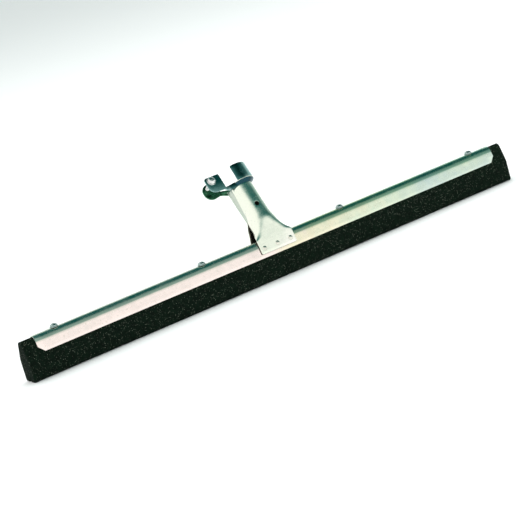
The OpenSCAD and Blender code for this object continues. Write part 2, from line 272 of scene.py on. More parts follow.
def cut(bm, place, facing, drop=False):
    """Cut the whole mesh along a plane; drop removes what lies past it."""
    bmesh.ops.bisect_plane(
        bm,
        geom=bm.verts[:] + bm.edges[:] + bm.faces[:],
        dist=1e-5,
        plane_co=place,
        plane_no=facing,
        clear_outer=drop,
    )


def bevel(bm, geom, width, segments, affect="VERTICES", clamp=False):
    """Round some corners or edges."""
    bmesh.ops.bevel(
        bm,
        geom=geom,
        offset=width,
        segments=segments,
        profile=0.5,
        affect=affect,
        material=-1,
        clamp_overlap=clamp,
    )


def extrude_edges(bm, edges, move):
    """Extrude edges by a vector; returns the far row of edges."""
    fresh, row = extrude_row(bm, edges)
    bmesh.ops.translate(bm, verts=list(fresh), vec=move)
    return row


def soften(bm, width, segments=2, limit=40):
    """Bevel every edge sharper than the limit."""
    least = math.radians(limit)
    sharp = [e for e in bm.edges if len(e.link_faces) == 2 and e.calc_face_angle(0) > least]
    if sharp:
        bevel(bm, sharp, width, segments, "EDGES", True)


def finish_piece(bm, name, material, stands_for, body=BODY, smooth=32):
    """Turn a mesh into a piece that rides on a body and stands for CAD nodes."""
    if not bm.faces:
        raise RuntimeError(f"{name} came out empty")
    bmesh.ops.recalc_face_normals(bm, faces=bm.faces)
    for face in bm.faces:
        face.smooth = True
    for edge in bm.edges:
        if len(edge.link_faces) == 2:
            edge.smooth = edge.calc_face_angle(0) < math.radians(smooth)
    mesh = bpy.data.meshes.new(name)
    bm.to_mesh(mesh)
    bm.free()
    mesh.materials.append(bpy.data.materials[material])
    piece = bpy.data.objects.new(name, mesh)
    bpy.context.scene.collection.objects.link(piece)
    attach(piece, body)
    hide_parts(*stands_for)
    return piece


def sheet_modifiers(piece, thickness, edge=0.15, painted_shade_inside=None):
    """Give an open surface its sheet thickness and softened edges, with optional painted shade on
    its inner face and rims.
    """
    solid = piece.modifiers.new("Sheet", "SOLIDIFY")
    solid.thickness = thickness / 1000
    solid.offset = -1.0
    if painted_shade_inside:
        # painted shade: the inner shell and the rims take the dark inside material
        piece.data.materials.append(bpy.data.materials[painted_shade_inside])
        solid.material_offset = solid.material_offset_rim = 1
    solid.use_even_offset = True
    solid.use_quality_normals = True
    bevel = piece.modifiers.new("Edges", "BEVEL")
    bevel.width = edge / 1000
    bevel.segments = 2
    bevel.limit_method = "ANGLE"
    bevel.angle_limit = math.radians(50)
    bevel.harden_normals = False


def open_sheet_normals(bm, outward):
    """Turn an open surface so that its faces look the way outward(centre) points."""
    bmesh.ops.recalc_face_normals(bm, faces=bm.faces)
    total = sum(f.normal.dot(outward(f.calc_center_median())) * f.calc_area() for f in bm.faces)
    if total < 0:
        bmesh.ops.reverse_faces(bm, faces=bm.faces)


# Materials.


class Nodes:
    """Small helper that fills a node tree."""

    def __init__(self, tree):
        self.tree = tree
        tree.nodes.clear()

    def plug(self, socket, value):
        """Link an output to a socket, or give the socket a plain value."""
        if isinstance(value, bpy.types.NodeSocket):
            self.tree.links.new(value, socket)
        elif socket.type == "RGBA":
            socket.default_value = (*value, 1)
        else:
            socket.default_value = value

    def add(self, kind, inputs=None, **options):
        """Add a node, set its options and fill its inputs."""
        node = self.tree.nodes.new("ShaderNode" + kind)
        for option, value in options.items():
            setattr(node, option, value)
        for key, value in (inputs or {}).items():
            self.plug(node.inputs[key], value)
        return node

    def ramp(self, value, stops):
        node = self.add("ValToRGB", {"Fac": value})
        elements = node.color_ramp.elements
        while len(elements) < len(stops):
            elements.new(0.5)
        for element, (at, tint) in zip(elements, stops):
            element.position = at
            element.color = (*tint, 1)
        return node.outputs["Color"]

    def levels(self, value, low, high, to_low, to_high):
        limits = {"From Min": low, "From Max": high, "To Min": to_low, "To Max": to_high}
        return self.add("MapRange", {"Value": value, **limits}).outputs["Result"]

    def combine(self, operation, first, second):
        return self.add("Math", {0: first, 1: second}, operation=operation).outputs[0]

    def mix(self, factor, first, second, blend="MIX"):
        inputs = {"Factor": factor, 6: first, 7: second}
        return self.add("Mix", inputs, data_type="RGBA", blend_type=blend).outputs[2]


class Material(Nodes):
    """A material with one Principled shader, textured in object coordinates."""

    def __init__(self, name):
        old = bpy.data.materials.get(name)
        if old:
            bpy.data.materials.remove(old)
        self.material = bpy.data.materials.new(name)
        self.material.use_nodes = True
        super().__init__(self.material.node_tree)
        self.shader = self.add("BsdfPrincipled")
        self.add("OutputMaterial", {"Surface": self.shader.outputs[0]})
        self.coords = self.add("TexCoord").outputs["Object"]

    def feed(self, name, value):
        self.plug(self.shader.inputs[name], value)

    def stretched(self, scale):
        return self.add("Mapping", {"Scale": scale, "Vector": self.coords}).outputs[0]

    def noise(self, scale, detail=3.0, roughness=0.55, vector=None):
        inputs = {"Scale": scale, "Detail": detail, "Roughness": roughness}
        inputs["Vector"] = vector or self.coords
        return self.add("TexNoise", inputs).outputs["Fac"]

    def cells(self, scale):
        inputs = {"Scale": scale, "Vector": self.coords}
        return self.add("TexVoronoi", inputs).outputs["Distance"]

    def bump(self, height, strength, distance, before=None):
        inputs = {"Strength": strength, "Distance": distance, "Height": height}
        if before:
            inputs["Normal"] = before
        return self.add("Bump", inputs).outputs[0]


def plated_metal(name, base, warm, green, rough, cast=1.0, span=(-0.27, 0.27), bend=None):
    """Zinc plated sheet: a cast that drifts along it, faint rolling lines and small stains. With a
    narrow span the drift paints light and shade across a part; bend multiplies in a band of painted
    shade at one height.
    """
    n = Material(name)
    parts = n.add("SeparateXYZ", {0: n.coords})
    drift = n.combine(
        "ADD",
        n.levels(parts.outputs["X"], *span, 0.02, 0.98),
        n.levels(n.noise(17.0, 4.0, 0.62), 0.25, 0.75, -0.20, 0.20),
    )
    stops = [(0.10, warm), (0.46, warm), (0.62, base), (0.80, green)]
    if bend:
        stops.append((1.0, (0.50, 0.62, 0.62)))
    tint = n.ramp(drift, stops)
    spots = n.noise(420.0, 2.0, 0.5)
    dull = n.levels(spots, 0.60, 0.78, 0.0, 0.30 * cast)
    shade = n.mix(dull, tint, tuple(c * 0.55 for c in base))
    if bend:
        # painted shade: a dark teal band multiplied in along the bend at one height, standing in
        # for the dark reflection on the rail's rounded top
        height = n.levels(parts.outputs["Z"], bend - 0.0025, bend + 0.0025, 0.0, 1.0)
        stops = [(0.0, (1.0, 1.0, 1.0)), (0.24, (0.82, 0.87, 0.83)), (0.44, (0.27, 0.43, 0.38))]
        stops += [(0.74, (0.25, 0.41, 0.36)), (1.0, (0.72, 0.90, 0.83))]
        shade = n.mix(1.0, shade, n.ramp(height, stops), "MULTIPLY")
    lines = n.noise(1.0, 3.0, 0.6, n.stretched((14.0, 620.0, 620.0)))
    n.feed("Base Color", shade)
    n.feed("Metallic", 1.0)
    n.feed("Roughness", n.levels(n.noise(95.0, 5.0, 0.65), 0.3, 0.7, rough - 0.06, rough + 0.10))
    fine = n.bump(lines, 0.10, 0.0002)
    n.feed("Normal", n.bump(n.noise(70.0, 3.0, 0.5), 0.10, 0.0008, fine))


def foam_material(name, dark, light):
    """Cellular foam rubber: small open cells, a few with paler walls."""
    n = Material(name)
    patches = n.noise(260.0, 4.0, 0.7)
    flecks = n.levels(n.cells(820.0), 0.10, 0.26, 1.0, 0.0)
    few = n.levels(n.noise(410.0, 2.0, 0.6), 0.44, 0.58, 0.0, 1.0)
    ground = n.ramp(patches, [(0.35, dark), (0.72, tuple(c * 2.6 for c in dark))])
    n.feed("Base Color", n.mix(n.combine("MULTIPLY", flecks, few), ground, light))
    n.feed("Roughness", n.levels(patches, 0.3, 0.7, 0.62, 0.85))
    n.feed("Specular IOR Level", 0.04)
    coarse = n.bump(n.noise(120.0, 3.0, 0.6), 0.25, 0.0008)
    n.feed("Normal", n.bump(n.cells(1150.0), 0.75, 0.0007, coarse))


def bright_metal(name, base, rough):
    """Bright plated fastener: fine grain and slight dulling."""
    n = Material(name)
    grime = n.levels(n.noise(700.0, 4.0, 0.6), 0.50, 0.80, 0.0, 0.6)
    plain = n.ramp(n.noise(160.0, 2.0, 0.5), [(0.3, base), (0.7, tuple(c * 0.86 for c in base))])
    n.feed("Base Color", n.mix(grime, plain, tuple(c * 0.5 for c in base)))
    n.feed("Metallic", 1.0)
    n.feed("Roughness", n.levels(n.noise(520.0, 3.0, 0.6), 0.3, 0.7, rough, rough + 0.12))
    n.feed("Normal", n.bump(n.noise(1400.0, 2.0, 0.5), 0.08, 0.0002))


def make_materials():
    """Make every material from the colours in the panel."""
    c = bpy.context.scene.squeegee_colours
    zinc, warm, green = tuple(c.zinc), tuple(c.zinc_warm), tuple(c.zinc_green)
    collar, bright = tuple(c.collar), tuple(c.bright)
    s = sizes()
    # painted shade: the height of the dark band on the rail's rounded top
    bend = (flange_points(s)[1] - 0.7) / 1000
    plated_metal("Zinc Sheet", zinc, warm, green, 0.24, bend=bend)
    socket = tuple(c.socket)
    fresh = tuple((a + b) / 2 for a, b in zip(socket, green))
    plated_metal("Zinc Socket", socket, fresh, socket, 0.22)
    # painted shade: the seam flanges, of the socket's own zinc, get a darker grey green standing in
    # for the less light they catch
    plated_metal("Zinc Seam", (0.50, 0.58, 0.52), (0.52, 0.58, 0.50), (0.46, 0.56, 0.50), 0.26)
    dark = tuple(c.collar_painted_shade)
    middle = tuple((a + b) / 2 for a, b in zip(collar, dark))
    # painted reflection: the collar band runs from dark at its left to light at its right, standing
    # in for the light and shade seen on it
    plated_metal("Zinc Collar", middle, dark, collar, 0.20, 1.0, (-0.007, 0.012))
    # painted shade: the front ear is tinted dark teal, darkest towards its neck, standing in for
    # the shade and dark reflection on it
    ear = (0.22, 0.38, 0.36)
    plated_metal("Zinc Ear", middle, ear, dark, 0.20, 1.0, (-0.0215, -0.0115))
    # painted shade: the rear ear, behind the front one, gets a dark olive colour standing in for
    # the shade on it
    rear_ear_shade = (0.05, 0.20, 0.11)
    plated_metal("Zinc Rear Ear", rear_ear_shade, (0.06, 0.19, 0.10), (0.05, 0.17, 0.12), 0.24)
    plated_metal("Bar Steel", (0.60, 0.62, 0.62), (0.58, 0.58, 0.56), (0.55, 0.58, 0.57), 0.34)
    foam_material("Foam Rubber", tuple(c.rubber), tuple(c.rubber_cells))
    # painted shade: the socket sheet's inner face and cut edges are dark, standing in for the shade
    # inside the tube and along the sheet's edges
    inside_shade = (0.07, 0.08, 0.07)
    plated_metal("Zinc Inside", inside_shade, (0.10, 0.09, 0.07), (0.06, 0.08, 0.06), 0.42)
    # painted shade: the collar's shoulder is dark navy, standing in for the shade in the step under
    # the band
    recess_shade = (0.007, 0.040, 0.062)
    plated_metal("Zinc Recess", recess_shade, (0.02, 0.065, 0.085), (0.012, 0.045, 0.055), 0.24, 0.5)
    bright_metal("Fastener", bright, 0.16)
    bright_metal("Washer", tuple(x * 0.95 for x in bright), 0.22)
    # painted shade: a darker copy of the fastener zinc for the ridge screws and washers, standing
    # in for the dark reflection on them
    bright_metal("Ridge Screw", (0.40, 0.49, 0.47), 0.20)
    bright_metal("Rivet", (0.80, 0.78, 0.68), 0.28)


# Pieces.


def make_foam(s):
    """The folded foam strip: two lips with a slit between them."""
    bm = bmesh.new()
    half = s.blade_width / 2
    fold = s.dome_radius - s.rail_sheet - 0.1
    fy = fold * math.cos(s.flange_lean)
    fz = s.dome_height + fold * math.sin(s.flange_lean)
    knee = fz - (half - fy) / math.tan(s.flange_lean)
    # one half of the section: up the slit's wall, round the lip and up the flank
    half_outline = [
        (0.25, s.dome_height - 9),
        (0.28, 14),
        (0.32, 4),
        (0.55, 1.6),
        (1.35, 0),
        (half, 0),
        (half, 9),
        (half, knee),
        (fy, fz),
    ]
    arc = 14
    for i in range(1, arc + 1):
        a = s.flange_lean + (math.pi / 2 - s.flange_lean) * i / arc
        half_outline.append((fold * math.cos(a), s.dome_height + fold * math.sin(a)))
    outline = half_outline + [(-y, z) for y, z in reversed(half_outline[:-1])]
    bm.faces.new([bm.verts.new((-s.blade_length / 2, y, z)) for y, z in outline])
    wide = [v for v in bm.verts if abs(v.co.y) > 5]
    bevel(bm, [v for v in wide if v.co.z < 1e-6], s.lip_radius * 0.75, 4)
    wide = [v for v in bm.verts if abs(v.co.y) > 5]
    bevel(bm, [v for v in wide if abs(v.co.z - knee) < 1e-4], 2.2, 3)
    steps = 110
    faces = bm.faces[:]
    for k in range(steps):
        made = bmesh.ops.extrude_face_region(bm, geom=faces, use_keep_orig=k == 0)["geom"]
        bmesh.ops.translate(bm, verts=verts_in(made), vec=(s.blade_length / steps, 0, 0))
        faces = [g for g in made if isinstance(g, bmesh.types.BMFace)]
    bmesh.ops.recalc_face_normals(bm, faces=bm.faces)
    ends = [
        e
        for e in bm.edges
        if len(e.link_faces) == 2
        and e.calc_face_angle(0) > math.radians(60)
        and all(abs(abs(v.co.x) - s.blade_length / 2) < 1e-4 for v in e.verts)
        and max(abs(v.co.y) for v in e.verts) > 1.2
    ]
    bevel(bm, ends, 0.5, 2, "EDGES")
    # the strip isn't dead straight: it swells and dips a little along its length
    for v in bm.verts:
        x, y = v.co.x, v.co.y
        low = max(0.0, 1 - v.co.z / 22)
        sway = 0.5 + 0.5 * math.sin(x * 0.031 + (1.3 if y > 0 else 0)) * math.cos(x * 0.0113)
        if abs(y) > 2:
            v.co.y -= math.copysign(low * 0.45 * sway, y)
        if v.co.z < 3:
            v.co.z += 0.30 * (0.5 + 0.5 * math.sin(x * 0.043 + y))
    place_mesh(bm, at_blade(s))
    finish_piece(bm, "foam_strip", "Foam Rubber", ["foam_blade"], smooth=40)


def make_rail(s):
    """The folded steel rail: a dome and two leaning flanges with cut corners."""
    bm = bmesh.new()
    y, z = flange_points(s)
    lean = s.flange_lean
    ease, ease_end = math.radians(12), 4.2
    first = lean + ease
    start = (0, -s.dome_radius * math.cos(first), s.dome_height + s.dome_radius * math.sin(first))
    dome = bm.verts.new(start)
    spin(bm, [dome], math.pi - 2 * first, 20, (0, 0, s.dome_height), (-1, 0, 0))
    ends = sorted((v for v in bm.verts if len(v.link_edges) == 1), key=lambda v: v.co.y)
    for v, side in zip(ends, (FRONT, REAR)):
        top = Vector((0, side * y, z))
        down = Vector((0, side * math.sin(lean), -math.cos(lean)))
        # the bend eases out over the flange's first few millimetres
        knee = top - down * s.dome_radius * ease * 0.3
        stop = top + down * ease_end
        stops = [
            v.co * (1 - t) ** 2 + knee * 2 * t * (1 - t) + stop * t * t
            for t in (0.2, 0.4, 0.6, 0.8, 1.0)
        ]
        stops += [top + down * d for d in (5.6, 7.4, 9.2, s.flange_length)]
        for point in stops:
            new = bm.verts.new(point)
            bm.edges.new((v, new))
            v = new
    bmesh.ops.translate(bm, verts=bm.verts, vec=(-s.rail_length / 2, 0, 0))
    edges = list(bm.edges)
    steps = 60
    for _ in range(steps):
        edges = extrude_edges(bm, edges, (s.rail_length / steps, 0, 0))
    bottom = z - s.flange_length * math.cos(lean)
    for end in (-1, 1):
        corner = (end * (s.rail_length / 2 - s.corner_cut), 0, bottom)
        cut(bm, corner, (end, 0, -1), drop=True)
    open_sheet_normals(bm, lambda p: Vector((0, p.y, p.z - s.dome_height + 2)))
    # long thin sheet: the free edges wander by a hair
    for v in bm.verts:
        if v.co.z < z - 1:
            side = math.copysign(1, v.co.y)
            low = (z - v.co.z) / s.flange_length
            v.co.y -= side * 0.16 * low * (0.5 + 0.5 * math.sin(v.co.x * 0.021 + side * 2))
    place_mesh(bm, at_blade(s))
    piece = finish_piece(bm, "rail_sheet", "Zinc Sheet", ["rail_channel"])
    sheet_modifiers(piece, s.rail_sheet, 0.18)


def section(low, side, a):
    """One point of a foot's section. a runs from -90 to 90 degrees across it."""
    flat, half, depth, edge = low["flat"], low["half"], low["depth"], low["edge"]
    turn = abs(a) / (math.pi / 2)
    share = flat / (flat + (half - flat) * 1.25) if flat > 0 else 0.0
    if share > 0 and turn <= share:
        x, y = flat * turn / share, depth
    else:
        t = (turn - share) / (1 - share) * math.pi / 2
        x = flat + (half - flat) * math.sin(t)
        y = edge + (depth - edge) * math.cos(t)
    return Vector((math.copysign(x, a), side * y, low["s"]))


def front_rows(s):
    """Sections of the front sheet from the tube down to the plate's lower edge."""
    r = s.tube_radius
    lean = s.socket_lean - s.flange_lean

    def plane(z):
        return r - (s.flat_tip - z) * math.tan(lean)

    table = [
        # place along the socket, half width, flat's half width, share of the way to the plane
        (25.6, 12.95, 0.0, 0.0),
        (23.0, 13.25, 0.0, 0.0),
        (20.5, 13.75, 0.0, 0.0),
        (18.6, 14.20, 0.6, 0.0),
        (16.6, 14.55, 1.9, 0.0),
        (14.4, 14.85, 3.6, 0.0),
        (12.2, 15.05, 5.9, 0.0),
        (10.2, 15.35, 7.7, 0.04),
        (8.2, 15.95, 9.1, 0.14),
        (6.4, 16.70, 10.1, 0.28),
        (4.8, 17.45, 10.9, 0.43),
        (3.3, 18.15, 11.9, 0.58),
        (2.0, 18.75, 13.4, 0.73),
        (0.8, 19.30, 15.6, 0.88),
        (-0.1, 19.65, 17.9, 0.97),
        (-0.97, 19.85, 19.6, 1.0),
    ]
    rows = []
    for z, half, flat, drop in table:
        depth = plane(z) if z < s.flat_tip else r
        rows.append(dict(s=z, half=half, flat=flat, depth=depth, edge=depth * drop))
    for k in range(1, 6):
        z = -0.97 - (13.97 - 0.97) * k / 5
        wide, depth = s.foot_width / 2, plane(z)
        rows.append(dict(s=z, half=wide, flat=wide - 0.2, depth=depth, edge=depth))
    return rows


def rear_rows(s):
    """Sections of the rear sheet from the tube down to the plate's lower edge."""
    r = s.tube_radius
    wide = s.foot_width / 2
    table = [
        (26.0, 12.95, 0.0, r, 0.0),
        (23.5, 13.3, 0.0, r, 0.0),
        (21.0, 14.1, 0.0, r, 0.0),
        (18.1, 15.8, 0.0, r, 0.0),
        (15.2, 17.2, 2.4, 11.90, 0.0),
        (12.2, 18.1, 5.2, 10.95, 0.03),
        (9.2, 18.7, 8.6, 9.90, 0.15),
        (6.6, 19.1, 12.0, 9.0, 0.36),
        (4.2, 19.5, 15.2, 8.15, 0.62),
        (2.4, 19.7, 17.6, 7.45, 0.84),
        (1.3, wide, wide - 0.3, 7.05, 1.0),
    ]
    rows = [
        dict(s=z, half=half, flat=flat, depth=depth, edge=depth * drop)
        for z, half, flat, depth, drop in table
    ]
    matrix = at_socket(s).inverted() @ at_flange(s, 1)
    top = -s.rear_down + s.rear_height
    for k in range(6):
        v = top - 0.3 - (s.rear_height - 0.3) * k / 5
        p = matrix @ Vector((0, s.socket_sheet, v))
        rows.append(dict(s=p.z, half=wide, flat=wide - 0.2, depth=p.y, edge=p.y))
    return rows


def make_socket(s):
    """The pressed socket: tube with a cross hole, front bell and rear flare."""
    bm = bmesh.new()
    r, n = s.tube_radius, s.round_steps
    step = math.tau / n
    arc = r * step
    patch = 3
    rise = [s.flare_end, s.cross_height - patch * arc]
    rise += [s.cross_height + (k - patch) * arc for k in range(1, 2 * patch + 1)]
    rise += [40.5, 44.5, 48.5, 52.5, 56.0, s.socket_length]
    start = Matrix.Translation((0, 0, rise[0]))
    bmesh.ops.create_circle(bm, cap_ends=False, segments=n, radius=r, matrix=start)
    base = ring = list(bm.edges)
    for low, high in zip(rise, rise[1:]):
        ring = extrude_edges(bm, ring, (0, 0, high - low))
    # cross hole at the front: open a patch and bridge it to a circle
    hole_low, hole_high = s.cross_height - patch * arc, s.cross_height + patch * arc
    window = [
        f
        for f in bm.faces
        if hole_low < f.calc_center_median().z < hole_high
        and f.calc_center_median().y < 0
        and abs(f.calc_center_median().x) < r * math.sin(step * patch)
    ]
    bmesh.ops.delete(bm, geom=window, context="FACES")
    rim = [
        e
        for e in bm.edges
        if len(e.link_faces) == 1
        and all(hole_low - 0.01 < v.co.z < hole_high + 0.01 and v.co.y < 0 for v in e.verts)
        and all(abs(v.co.x) < r * math.sin(step * patch) + 0.01 for v in e.verts)
    ]
    made = bmesh.ops.create_circle(
        bm,
        cap_ends=False,
        segments=len(rim),
        radius=s.cross_hole,
        matrix=Matrix.Translation((0, 0, s.cross_height)) @ Matrix.Rotation(math.pi / 2, 4, "X"),
    )["verts"]
    for v in made:
        v.co.y = -math.sqrt(r * r - v.co.x**2)
    circle = [e for e in bm.edges if e.verts[0] in made and e.verts[1] in made]
    bmesh.ops.bridge_loops(bm, edges=rim + circle)
    # front and rear sheets run down from the tube's lower ring
    for side, rows in ((FRONT, front_rows(s)), (REAR, rear_rows(s))):
        edges = [e for e in base if side * (e.verts[0].co.y + e.verts[1].co.y) > 1e-6]
        turns = {}
        for row in rows:
            fresh, edges = extrude_row(bm, edges)
            if turns:
                turns = {v: turns[under(v, fresh)] for v in fresh}
            else:
                turns = {v: math.atan2(v.co.x, side * v.co.y) for v in fresh}
            for v in fresh:
                v.co = section(row, side, turns[v])
    bmesh.ops.recalc_face_normals(bm, faces=bm.faces)
    open_sheet_normals(bm, lambda p: Vector((p.x, p.y, 0)))
    bevel(bm, [v for v in bm.verts if len(v.link_faces) == 1 and v.co.z < 5], 1.3, 3)
    place_mesh(bm, at_socket(s))
    piece = finish_piece(
        bm,
        "socket_sheet",
        "Zinc Socket",
        ["socket_tube", "front_foot", "rear_foot"],
        smooth=50,
    )
    sheet_modifiers(piece, s.socket_sheet, 0.2, "Zinc Inside")


def make_seam(s, side):
    """One of the two narrow flanges where the socket's sheet meets at the left."""
    bm = bmesh.new()
    r, out = s.tube_radius, s.tube_radius + 1.3
    touch = math.acos(r / out)
    low, high = s.flare_end - 9, s.socket_length + 0.5
    outline = [(-out, 0.06), (-out, 0.75)]
    outline += [(-d * math.cos(touch), d * math.sin(touch)) for d in (r, r - 0.9)]
    outline.append((0.9 - r, 0.06))
    face = bm.faces.new([bm.verts.new((x, side * y, low)) for x, y in outline])
    made = bmesh.ops.extrude_face_region(bm, geom=[face])["geom"]
    bmesh.ops.translate(bm, verts=verts_in(made), vec=(0, 0, high - low))
    bmesh.ops.recalc_face_normals(bm, faces=bm.faces)
    for z in range(int(low) + 3, int(high), 3):
        cut(bm, (0, 0, z), (0, 0, 1))
    # the flanges part a little towards the foot
    for v in bm.verts:
        part = max(0.0, (30 - v.co.z) / 12)
        v.co.y += side * 1.1 * part * part
        v.co.x += ((high - v.co.z) / (high - low)) ** 2
    soften(bm, 0.22)
    name = "front" if side == FRONT else "rear"
    place_mesh(bm, at_socket(s))
    finish_piece(
        bm, f"{name}_seam", "Zinc Seam", [f"seam_flange_{name}"], smooth=40
    )


def make_collar(s):
    """The stepped collar: a shoulder and a band open at the left."""
    bm = bmesh.new()
    rows = 6
    bmesh.ops.create_circle(
        bm,
        cap_ends=False,
        segments=s.round_steps,
        radius=s.tube_radius,
        matrix=Matrix.Translation((0, 0, s.socket_length)),
    )
    ring = list(bm.edges)
    base = {v: (v.co.x / s.tube_radius, v.co.y / s.tube_radius) for v in bm.verts}
    for k in range(1, rows + 1):
        t = k / rows
        ease = t * t * (3 - 2 * t)
        radius = s.tube_radius + (s.collar_radius - s.tube_radius) * ease
        height = s.socket_length + s.shoulder_height * t
        fresh, ring = extrude_row(bm, ring)
        for v in fresh:
            x, y = base[v] = base[under(v, fresh)]
            v.co = (x * radius + s.collar_offset * ease, y * radius, height)
    middles = {f: f.calc_center_median() for f in bm.faces}
    notch = [
        f
        for f, p in middles.items()
        if p.x < -6 and abs(p.y) < s.ear_gap - 0.25 and p.z > s.socket_length + 1
    ]
    bmesh.ops.delete(bm, geom=notch, context="FACES")
    open_sheet_normals(bm, lambda p: Vector((p.x, p.y, 0)))
    # painted highlight: the shoulder's top row takes the light socket zinc, standing in for the
    # light caught along its upper rim
    highlight_row = s.socket_length + s.shoulder_height * (1 - 1 / rows)
    for f in bm.faces:
        f.material_index = int(f.calc_center_median().z > highlight_row)
    place_mesh(bm, at_socket(s))
    # the shoulder carries painted shade, with a painted highlight on its top row
    shoulder = finish_piece(
        bm, "collar_step", "Zinc Recess", ["collar_shoulder"], smooth=50
    )
    shoulder.data.materials.append(bpy.data.materials["Zinc Socket"])
    sheet_modifiers(shoulder, s.socket_sheet, 0.15)

    bm = bmesh.new()
    start = -math.acos((-4.2 - s.collar_offset) / s.collar_radius)
    stop = math.acos((10 - s.collar_offset) / s.collar_radius)
    low = s.socket_length + s.shoulder_height
    x = s.collar_offset + s.collar_radius * math.cos(start)
    y = s.collar_radius * math.sin(start)
    column = polyline(bm, [(x, y, low + s.band_height * k / 5) for k in range(6)])
    spin(bm, column, stop - start, 40, (s.collar_offset, 0, 0))
    bevel(bm, [v for v in bm.verts if len(v.link_faces) == 1 and v.co.z > low + 1], 1.6, 4)
    open_sheet_normals(bm, lambda p: Vector((p.x - s.collar_offset, p.y, 0)))
    place_mesh(bm, at_socket(s))
    band = finish_piece(
        bm, "collar_wall", "Zinc Collar", ["collar_band"], smooth=50
    )
    sheet_modifiers(band, s.socket_sheet, 0.25)


def bent_path(points, bend, steps=6):
    """A polyline through the points with each corner rounded; returns (length, x, y)."""
    smooth = [Vector(points[0])]
    for before, corner, after in zip(points, points[1:], points[2:]):
        c = Vector(corner)
        a = c + (Vector(before) - c).normalized() * bend
        b = c + (Vector(after) - c).normalized() * bend
        for k in range(steps + 1):
            t = k / steps
            smooth.append(a * (1 - t) ** 2 + c * 2 * t * (1 - t) + b * t * t)
    smooth.append(Vector(points[-1]))
    out, run = [], 0.0
    for k, p in enumerate(smooth):
        if k:
            run += (p - smooth[k - 1]).length
        out.append((run, p.x, p.y))
    return out


def along(path, u):
    """Point of a bent path at the length u."""
    for (u0, x0, y0), (u1, x1, y1) in zip(path, path[1:]):
        if u <= u1 or (u1, x1, y1) == path[-1]:
            t = (u - u0) / (u1 - u0)
            return x0 + (x1 - x0) * t, y0 + (y1 - y0) * t
    raise RuntimeError("a point lies past the end of a path")


def make_ear(s, side):
    """One clamp ear: a rounded plate and its neck to the socket's shoulder."""
    face = s.ear_gap + s.socket_sheet / 2
    outer = face + s.socket_sheet / 2
    # the front neck leaves the tube, the rear one the shoulder's wider rim
    if side == FRONT:
        # painted shade on the front ear's plate
        name, material = "front", "Zinc Ear"
        rim, middle, lift, bow = s.tube_radius, 0.0, 0.0, 0.18
    else:
        # painted shade on the rear ear's plate
        name, material = "rear", "Zinc Rear Ear"
        rim, middle, lift, bow = s.collar_radius, s.collar_offset, 2.2, 0.108
    reach = math.hypot(s.ear_inner + middle, outer)
    lean = math.atan2(outer, s.ear_inner + middle)
    touch = math.pi - lean - math.acos(rim / reach)
    r = rim - s.socket_sheet / 2
    contact = (middle + r * math.cos(touch), r * math.sin(touch))
    path = bent_path([contact, (-s.ear_inner, face), (-s.ear_outer, face)], 2.4)
    total = path[-1][0]
    neck = math.hypot(contact[0] + s.ear_inner, contact[1] - face)
    low = s.socket_length + s.ear_low
    high = low + s.ear_height
    foot = s.socket_length - 0.4 + lift
    top = s.socket_length + s.shoulder_height + lift * 1.8
    bm = bmesh.new()
    outline = [
        (0.0, foot),
        (neck - 1.6, foot + lift * 0.9),
        (neck + 2.2, low - 0.1 + lift * 0.5),
        (neck + 8.5, low),
        (total, low),
        (total, high),
        (neck + 0.2, high),
        (neck + 0.2, top),
        (0.0, top),
    ]
    verts = [bm.verts.new((u, 0, z)) for u, z in outline]
    bm.faces.new(verts)
    for vert, size in zip(verts[4:7], (*EAR_CORNERS[side], 1.0)):
        bevel(bm, [vert], size, 8)
    for u in [p[0] for p in path[1:-1]] + [neck + 4 + 2.5 * k for k in range(5)]:
        cut(bm, (u, 0, 0), (1, 0, 0))
    for v in bm.verts:
        u = min(max(v.co.x, 0.0), total)
        x, y = along(path, u)
        out = max(0.0, (u - neck - 2) / (total - neck - 2))
        v.co = (x, side * (y + bow * math.sin(out * math.pi)), v.co.z)
    open_sheet_normals(bm, lambda p: Vector((0, side, 0)))
    bmesh.ops.solidify(bm, geom=bm.faces[:], thickness=s.socket_sheet)
    bmesh.ops.recalc_face_normals(bm, faces=bm.faces)
    plate = [v.co.y for v in bm.verts if v.co.x < -s.ear_inner - 8]
    shift = side * face - (max(plate) + min(plate)) / 2
    bmesh.ops.translate(bm, verts=bm.verts, vec=(0, shift, 0))
    soften(bm, 0.22, limit=50)
    place_mesh(bm, at_socket(s))
    finish_piece(
        bm, f"{name}_ear_plate", material, [f"{name}_ear"], smooth=40
    )


def add_thread(bm, low, high):
    """A screw thread between two heights, on a core with a chamfered tip."""
    depth = THREAD_PITCH * 0.5
    root, crest = THREAD_RADIUS - depth, THREAD_RADIUS - 0.06
    turns = max(1, int((high - low) / THREAD_PITCH) - 2)
    profile = []
    for k in range(turns):
        z = low + THREAD_PITCH * (k + 0.6)
        profile.append((root, 0, z))
        profile += [(crest, 0, z + THREAD_PITCH * share) for share in (0.42, 0.58)]
    profile.append((root, 0, low + THREAD_PITCH * (turns + 0.6)))
    part = bmesh.new()
    steps = 20
    spin(part, polyline(part, profile), math.tau, steps, rise=THREAD_PITCH / steps)
    bmesh.ops.remove_doubles(part, verts=part.verts, dist=1e-3)
    bmesh.ops.recalc_face_normals(part, faces=part.faces)
    join_mesh(bm, part)
    core = bmesh.new()
    rest = root + 0.03
    chamfer = depth * 0.8
    outline = [(0, low), (rest - chamfer, low), (rest, low + chamfer), (rest, high), (0, high)]
    turned(core, outline, 24)
    join_mesh(bm, core)


def join_mesh(bm, part):
    """Add another mesh's shells to this one."""
    spare = bpy.data.meshes.new("part")
    part.to_mesh(spare)
    part.free()
    bm.from_mesh(spare)
    bpy.data.meshes.remove(spare)


